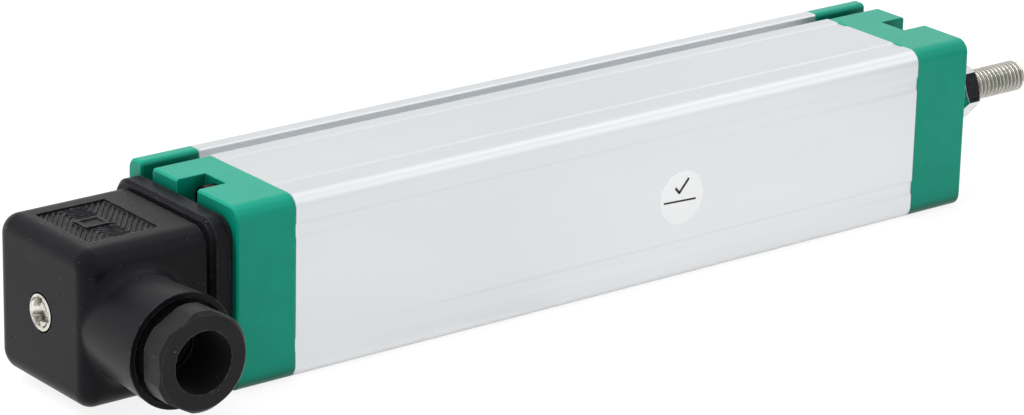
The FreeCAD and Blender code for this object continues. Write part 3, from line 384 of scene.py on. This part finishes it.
# Material of each slot in the record
MATERIALS = {
    "anodised_aluminium": anodised_aluminium(),
    "green_plastic": green_plastic(),
    "black_plastic": black_plastic("black_plastic", tone(14, 13, 17), tone(18, 17, 21)),
    "black_rubber": black_rubber(),
    "dark_screw": worked_metal(
        "dark_screw", tone(44, 34, 34), tone(66, 50, 50), 0.4, 0.55, 0.2 * MM, TURNED, 0.15 * MM),
    # Its last colour is painted shade in the cross recess and the rim groove.
    "plated_screw": worked_metal(
        "plated_screw", tone(205, 201, 192), tone(238, 235, 228), 0.14, 0.26, 0.25 * MM, TURNED, 0.12 * MM,
        tone(30, 28, 26)),
    # Its last colour is painted shade in the thread roots.
    "rod_steel": worked_metal(
        "rod_steel", tone(178, 174, 166), tone(212, 209, 202), 0.3, 0.44, 0.2 * MM, TURNED, 0.05 * MM,
        tone(140, 137, 130)),
    "nut_steel": worked_metal(
        "nut_steel", tone(198, 198, 199), tone(230, 230, 231), 0.08, 0.16, 0.4 * MM, DRAWN, 0.12 * MM),
    "bearing_bronze": worked_metal(
        "bearing_bronze", tone(150, 108, 62), tone(184, 140, 88), 0.3, 0.45, 0.2 * MM, TURNED, 0.1 * MM),
    "contact_brass": worked_metal(
        "contact_brass", tone(190, 158, 92), tone(216, 186, 122), 0.22, 0.36, 0.25 * MM, DRAWN, 0.08 * MM),
    "board_laminate": moulded(
        "board_laminate", tone(150, 138, 96), tone(166, 154, 112), 0.4, 0.55, 0.5 * MM),
    "carbon_track": moulded(
        "carbon_track", tone(24, 24, 26), tone(36, 36, 38), 0.5, 0.65, 0.15 * MM),
    "silver_track": worked_metal(
        "silver_track", tone(190, 190, 188), tone(216, 216, 214), 0.3, 0.45, 0.2 * MM, DRAWN, 0.05 * MM),
    "slider_plastic": moulded(
        "slider_plastic", tone(222, 220, 212), tone(236, 234, 226), 0.4, 0.52, 0.6 * MM),
    "lead_insulation": moulded(
        "lead_insulation", tone(170, 36, 32), tone(188, 46, 40), 0.4, 0.5, 0.6 * MM),
}

# Nodes that look different from the rest of their slot
NODE_MATERIALS = {
    "gland_nut": black_plastic("gland_plastic", tone(29, 28, 30), tone(34, 33, 35)),
}


def sticker_paper():
    """White paper with a slight gloss."""
    material = shaded("sticker_paper", tone(252, 253, 254), Specular_IOR_Level=0.4)
    fibre = grain(material, 0.3 * MM)
    paper = blended(material, spread(material, fibre, 0, 1), tone(250, 251, 252), tone(254, 255, 255))
    drive(material, "Base Color", paper)
    drive(material, "Roughness", spread(material, fibre, 0.35, 0.5))
    return material


def sticker_ink():
    """Black print, a little uneven."""
    material = shaded("sticker_ink", tone(24, 24, 26))
    fine = grain(material, 0.12 * MM)
    colour = blended(material, spread(material, fine, 0, 1), tone(18, 18, 20), tone(34, 34, 36))
    drive(material, "Base Color", colour)
    drive(material, "Roughness", spread(material, fine, 0.4, 0.6))
    return material


# Mesh helpers

def piece(name, vertices, faces, body, material, sharp=SMOOTH_ANGLE):
    """Object from a list of vertices and faces, smooth up to the given angle, riding on a body."""
    mesh = bpy.data.meshes.new(name)
    mesh.from_pydata([tuple(vertex) for vertex in vertices], [], faces)
    made = bmesh.new()
    made.from_mesh(mesh)
    bmesh.ops.recalc_face_normals(made, faces=made.faces)
    made.to_mesh(mesh)
    made.free()
    mesh.polygons.foreach_set("use_smooth", [True] * len(mesh.polygons))
    mesh.set_sharp_from_angle(angle=math.radians(sharp))
    thing = bpy.data.objects.new(name, mesh)
    bpy.context.scene.collection.objects.link(thing)
    mesh.materials.append(material)
    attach(thing, body)
    return thing


def revolved(rows, segments, first_pole, last_pole):
    """Closed surface about the X axis: rows give (x, radius) at an angle, poles the x of both ends."""
    vertices = [Vector((first_pole, 0, 0))]
    for row in rows:
        for step in range(segments):
            angle = 2 * math.pi * step / segments
            x, radius = row(angle)
            vertices.append(Vector((x, radius * math.cos(angle), radius * math.sin(angle))))
    vertices.append(Vector((last_pole, 0, 0)))
    faces = []
    last_start = 1 + segments * (len(rows) - 1)
    for step in range(segments):
        following = (step + 1) % segments
        faces.append((0, 1 + step, 1 + following))
        for row in range(len(rows) - 1):
            low = 1 + segments * row
            high = low + segments
            faces.append((low + step, high + step, high + following, low + following))
        faces.append((last_start + step, len(vertices) - 1, last_start + following))
    return vertices, faces


def plain(x, radius):
    """Row of a revolved surface that is round."""
    return lambda angle: (x, radius)


# Pieces

def threaded_push_rod():
    """Push rod with its journal, shaft and rolled thread."""
    low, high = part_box("push_rod")
    nut_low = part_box("rod_lock_nut")[0]
    shaft = (high[2] - low[2]) / 2
    axis = Matrix.Translation((0, 0, (low[2] + high[2]) / 2))
    carriage_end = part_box("wiper_carriage")[1][0]
    thread_x = nut_low[0] - THREAD_TURNS_BEHIND_NUT * THREAD_PITCH
    runout = THREAD_PITCH

    def threaded(x):
        def row(angle):
            phase = (x / THREAD_PITCH - angle / (2 * math.pi)) % 1
            flank = abs(2 * phase - 1)
            rise = (flank - THREAD_ROOT_SHARE) / (1 - 2 * THREAD_ROOT_SHARE)
            crest = min(1.0, max(0.0, rise))
            fade = min(1.0, max(0.0, (x - thread_x) / runout))
            radius = shaft - THREAD_DEPTH * (1 - crest) * fade
            return x, min(radius, shaft - TIP_CHAMFER + high[0] - x)
        return row

    rows = [
        plain(low[0], JOURNAL_RADIUS),
        plain(carriage_end, JOURNAL_RADIUS),
        plain(carriage_end, shaft),
        plain(thread_x, shaft),
    ]
    count = round((high[0] - thread_x) / THREAD_PITCH * THREAD_STEPS)
    for index in range(1, count + 1):
        rows.append(threaded(thread_x + (high[0] - thread_x) * index / count))
    vertices, faces = revolved(rows, ROD_SEGMENTS, low[0], high[0])
    vertices = [axis @ vertex for vertex in vertices]
    rod = piece("threaded_push_rod", vertices, faces, "rod", MATERIALS["rod_steel"])
    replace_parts(rod, "push_rod")
    return rod


def cross_recess_screw():
    """Middle screw of the connector: a crowned head with a cross recess and a groove inside its rim."""
    low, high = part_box("connector_screw")
    seat_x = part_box("connector_screw_seal")[0][0]
    radius = (high[2] - low[2]) / 2
    axis = Matrix.Translation((0, 0, (low[2] + high[2]) / 2))

    def crown(share):
        def row(angle):
            distance = radius * share
            across = min(abs(math.sin(angle)), abs(math.cos(angle))) * distance
            along = max(abs(math.sin(angle)), abs(math.cos(angle))) * distance
            wall = min(1.0, max(0.0, (RECESS_WIDTH / 2 - across) / RECESS_WALL + 0.5))
            floor = min(1.0, max(0.0, (RECESS_REACH - along) / (RECESS_REACH * RECESS_RUN)))
            groove = RIM_GROOVE_DEPTH * max(0.0, 1 - abs(share - RIM_GROOVE_PLACE) / RIM_GROOVE_REACH)
            sunk = max(RECESS_DEPTH * wall * floor, groove)
            return low[0] + HEAD_CROWN * share ** 3 + sunk, distance
        return row

    rows = [crown(index / HEAD_STEPS) for index in range(1, HEAD_STEPS + 1)]
    rows += [plain(seat_x, radius), plain(seat_x, SHANK_RADIUS), plain(high[0], SHANK_RADIUS)]
    vertices, faces = revolved(rows, HEAD_SEGMENTS, low[0] + RECESS_DEPTH, high[0])
    vertices = [axis @ vertex for vertex in vertices]
    steel = MATERIALS["plated_screw"]
    screw = piece("cross_recess_screw", vertices, faces, "housing", steel, HEAD_SMOOTH_ANGLE)
    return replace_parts(screw, "connector_screw")


def rib_spans(start, end, half_width, plate):
    """Stretches of a rib, as shares of its length, in the panel and clear of its plate.

    The plate is given by the x of its middle, half its length and half its width.
    """
    def inside(share):
        x = start[0] + (end[0] - start[0]) * share
        y = start[1] + (end[1] - start[1]) * share
        on_plate = abs(x - plate[0]) < plate[1] and abs(y) < plate[2]
        return abs(y) < half_width and not on_plate

    spans = []
    opened = None
    for index in range(RIB_STEPS + 1):
        share = index / RIB_STEPS
        if inside(share) and opened is None:
            opened = share
        if opened is not None and (not inside(share) or index == RIB_STEPS):
            if share - opened > 2 / RIB_STEPS:
                spans.append((opened, share))
            opened = None
    return spans


def grip_ribs():
    """Herringbone ribs on the floor of the connector's grip panel."""
    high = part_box("connector_housing")[1]
    floor = high[2] - PANEL_DEPTH
    panel_x = high[0] - PANEL_TO_MOUTH - PANEL_LENGTH
    plate_x = panel_x + PLATE_SETBACK + PLATE_LENGTH / 2
    plate = (plate_x, PLATE_LENGTH / 2 + RIB_MARGIN, PLATE_WIDTH / 2 + RIB_MARGIN)
    half_width = PANEL_WIDTH / 2 - RIB_MARGIN
    column = (PANEL_LENGTH - 2 * RIB_MARGIN) / RIB_COLUMNS
    climb = column * RIB_SLOPE
    count = math.ceil((PANEL_WIDTH + climb) / RIB_PITCH)
    vertices = []
    faces = []
    for index in range(RIB_COLUMNS):
        x_low = panel_x + RIB_MARGIN + index * column
        side = 1 if index % 2 == 0 else -1
        for step in range(count):
            y_low = side * (-half_width - climb + step * RIB_PITCH)
            start = Vector((x_low, y_low, floor))
            end = Vector((x_low + column, y_low + side * climb, floor))
            across = (end - start).normalized().cross(Vector((0, 0, 1))) * (RIB_WIDTH / 2)
            for opened, closed in rib_spans(start, end, half_width, plate):
                base = len(vertices)
                for share in (opened, closed):
                    place = start.lerp(end, share)
                    vertices += [place - across, place + across, place + Vector((0, 0, RIB_HEIGHT))]
                faces += [
                    (base, base + 3, base + 5, base + 2),
                    (base + 1, base + 2, base + 5, base + 4),
                    (base, base + 1, base + 4, base + 3),
                    (base, base + 2, base + 1),
                    (base + 3, base + 4, base + 5),
                ]
    plastic = MATERIALS["black_plastic"]
    return piece("grip_ribs", vertices, faces, "housing", plastic, RIB_SMOOTH_ANGLE)


def flat_shape(outline, y_front, thickness):
    """Prism on the marked face from an outline of (right, up) places about the sticker's middle."""
    vertices = []
    for y in (y_front, y_front + thickness):
        vertices += [Vector((STICKER_X + right, y, STICKER_Z + up)) for right, up in outline]
    count = len(outline)
    faces = [tuple(range(count)), tuple(range(2 * count - 1, count - 1, -1))]
    for index in range(count):
        following = (index + 1) % count
        faces.append((index, following, count + following, count + index))
    return vertices, faces


def bar(start, end, width):
    """Outline of a straight stroke."""
    first = Vector(start)
    second = Vector(end)
    along = (second - first).normalized()
    across = Vector((-along.y, along.x)) * (width / 2)
    return [tuple(first - across), tuple(second - across), tuple(second + across), tuple(first + across)]


def inspection_sticker():
    """Round paper sticker with a plain tick over a line."""
    face_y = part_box("extruded_housing")[0][1]
    rim = []
    for step in range(STICKER_SEGMENTS):
        angle = 2 * math.pi * step / STICKER_SEGMENTS
        rim.append((STICKER_RADIUS * math.cos(angle), STICKER_RADIUS * math.sin(angle)))
    vertices, faces = flat_shape(rim, face_y - STICKER_THICKNESS, STICKER_THICKNESS)
    sticker = piece("inspection_sticker", vertices, faces, "housing", sticker_paper())
    strokes = [
        bar(LINE_START, LINE_END, LINE_WIDTH),
        bar(SHORT_ARM_START, SHORT_ARM_END, TICK_WIDTH),
        bar(LONG_ARM_START, LONG_ARM_END, TICK_WIDTH),
    ]
    ink = sticker_ink()
    front = face_y - STICKER_THICKNESS - PRINT_THICKNESS
    for index, stroke in enumerate(strokes):
        vertices, faces = flat_shape(stroke, front, PRINT_THICKNESS)
        piece("sticker_print_%d" % (index + 1), vertices, faces, "housing", ink)
    return sticker


# Finish of the CAD nodes

def finish_nodes():
    """Gives every node its own material, or else that of its slot in the record."""
    for part in frame["record"]["subparts"]:
        thing = frame["nodes"][part["node"]]
        thing.data.materials.clear()
        thing.data.materials.append(NODE_MATERIALS.get(part["node"], MATERIALS[part["material_slot"]]))


# Stage, light and camera

def white_for_viewer(material):
    """1 for rays that the camera, a reflection or a see-through surface sends out, else 0."""
    path = add(material, "ShaderNodeLightPath")
    inputs = {0: path.outputs["Is Camera Ray"], 1: path.outputs["Is Glossy Ray"]}
    seen = add(material, "ShaderNodeMath", inputs, operation="MAXIMUM")
    inputs = {0: seen.outputs["Value"], 1: path.outputs["Is Transmission Ray"]}
    return add(material, "ShaderNodeMath", inputs, operation="MAXIMUM").outputs["Value"]


def floor():
    """Pale floor that looks white and keeps a soft shadow."""
    half = FLOOR_HALF_WIDTH
    mesh = bpy.data.meshes.new("floor")
    corners = [(-half, -half, 0), (half, -half, 0), (half, half, 0), (-half, half, 0)]
    mesh.from_pydata(corners, [], [(0, 1, 2, 3)])
    plane = bpy.data.objects.new("floor", mesh)
    bpy.context.scene.collection.objects.link(plane)
    plane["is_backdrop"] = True
    material = bpy.data.materials.new("floor")
    material.use_nodes = True
    material.node_tree.nodes.clear()
    lit = add(material, "ShaderNodeBsdfDiffuse", {"Color": (FLOOR_GREY, FLOOR_GREY, FLOOR_GREY, 1)})
    dim = (FLOOR_SHADOW_GREY, FLOOR_SHADOW_GREY, FLOOR_SHADOW_GREY, 1)
    shadowed = add(material, "ShaderNodeBsdfDiffuse", {"Color": dim})
    glow = add(material, "ShaderNodeEmission", {"Color": (1, 1, 1, 1), "Strength": FLOOR_GLOW})
    both = add(material, "ShaderNodeAddShader", {0: shadowed.outputs[0], 1: glow.outputs[0]})
    share = white_for_viewer(material)
    mixed = add(material, "ShaderNodeMixShader", {0: share, 1: lit.outputs[0], 2: both.outputs[0]})
    add(material, "ShaderNodeOutputMaterial", {"Surface": mixed.outputs[0]})
    mesh.materials.append(material)


def world():
    """Soft even light from all round, with a white background."""
    sky = bpy.data.worlds.new("studio")
    bpy.context.scene.world = sky
    sky.use_nodes = True
    sky.node_tree.nodes.clear()
    soft = add(sky, "ShaderNodeBackground", {"Color": (1, 1, 1, 1), "Strength": SOFT_LIGHT})
    white = add(sky, "ShaderNodeBackground", {"Color": (1, 1, 1, 1), "Strength": 1.0})
    share = white_for_viewer(sky)
    mixed = add(sky, "ShaderNodeMixShader", {0: share, 1: soft.outputs[0], 2: white.outputs[0]})
    add(sky, "ShaderNodeOutputWorld", {"Surface": mixed.outputs[0]})


def dark_flag():
    """Black studio card beside the rod's end, which only polished metal shows."""
    nut_low, nut_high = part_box("rod_lock_nut")
    way = Vector(FLAG_WAY).normalized()
    middle = (Vector(nut_low) + Vector(nut_high)) / 2 + way * FLAG_DISTANCE
    level = Vector((0, 0, 1)).cross(way).normalized() * (FLAG_WIDTH / 2)
    rise = way.cross(level).normalized() * (FLAG_HEIGHT / 2)
    corners = [middle - level - rise, middle + level - rise, middle + level + rise, middle - level + rise]
    mesh = bpy.data.meshes.new("dark_flag")
    mesh.from_pydata([tuple(corner) for corner in corners], [], [(0, 1, 2, 3)])
    card = bpy.data.objects.new("dark_flag", mesh)
    bpy.context.scene.collection.objects.link(card)
    card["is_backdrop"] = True
    card.visible_camera = False
    card.visible_diffuse = False
    card.visible_shadow = False
    material = shaded("dark_flag", tone(44, 44, 46), Specular_IOR_Level=0.0, Roughness=1.0)
    mesh.materials.append(material)


def lamp(name, target, direction, distance, size, power):
    """Square area lamp that looks at a place from the given direction."""
    data = bpy.data.lights.new(name, "AREA")
    data.shape = "SQUARE"
    data.size = size
    data.energy = power
    thing = bpy.data.objects.new(name, data)
    bpy.context.scene.collection.objects.link(thing)
    way = Vector(direction).normalized()
    thing.location = target + way * distance
    thing.rotation_euler = way.to_track_quat("Z", "Y").to_euler()
    return thing


def lamps(rod):
    """Broad key lamp, small lights that only shiny edges mirror, and one that only the rod mirrors."""
    key = lamp("key", CAMERA_TARGET, KEY_WAY, KEY_DISTANCE, KEY_SIZE, KEY_POWER)
    key.visible_glossy = False
    for name, way in GLINT_WAYS.items():
        glint = lamp(name, CAMERA_TARGET, way, GLINT_DISTANCE, GLINT_SIZE, GLINT_POWER)
        glint.visible_diffuse = False
    rod_end = Vector(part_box("push_rod")[1])
    shine = lamp(
        "rod_light", rod_end, ROD_LIGHT_WAY, ROD_LIGHT_DISTANCE, ROD_LIGHT_SIZE, ROD_LIGHT_POWER)
    shine.visible_diffuse = False
    lit = bpy.data.collections.new("rod_light_reaches")
    lit.objects.link(rod)
    shine.light_linking.receiver_collection = lit


def camera():
    """Camera that stands, turns and zooms as the photograph's did."""
    azimuth = math.radians(CAMERA_AZIMUTH)
    elevation = math.radians(CAMERA_ELEVATION)
    roll = math.radians(CAMERA_ROLL)
    back = Vector((
        math.sin(azimuth) * math.cos(elevation),
        -math.cos(azimuth) * math.cos(elevation),
        math.sin(elevation),
    ))
    level_right = Vector((math.cos(azimuth), math.sin(azimuth), 0))
    level_up = back.cross(level_right)
    right = level_right * math.cos(roll) + level_up * math.sin(roll)
    up = level_up * math.cos(roll) - level_right * math.sin(roll)
    data = bpy.data.cameras.new("camera")
    data.sensor_width = SENSOR_WIDTH
    data.lens = FOCAL_PIXELS * SENSOR_WIDTH / IMAGE_WIDTH
    data.clip_start = CLIP_START
    thing = bpy.data.objects.new("camera", data)
    bpy.context.scene.collection.objects.link(thing)
    turn = Matrix((right, up, back)).transposed().to_4x4()
    thing.matrix_world = Matrix.Translation(CAMERA_TARGET + back * CAMERA_DISTANCE) @ turn
    bpy.context.scene.camera = thing


push_rod = threaded_push_rod()
cross_recess_screw()
grip_ribs()
inspection_sticker()
finish_nodes()
floor()
world()
dark_flag()
lamps(push_rod)
camera()
bpy.context.scene.view_settings.view_transform = "Standard"

boxes = {"cad": CAD_BOX, "visual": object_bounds()}
boxes = {name: [list(corner) for corner in box] for name, box in boxes.items()}
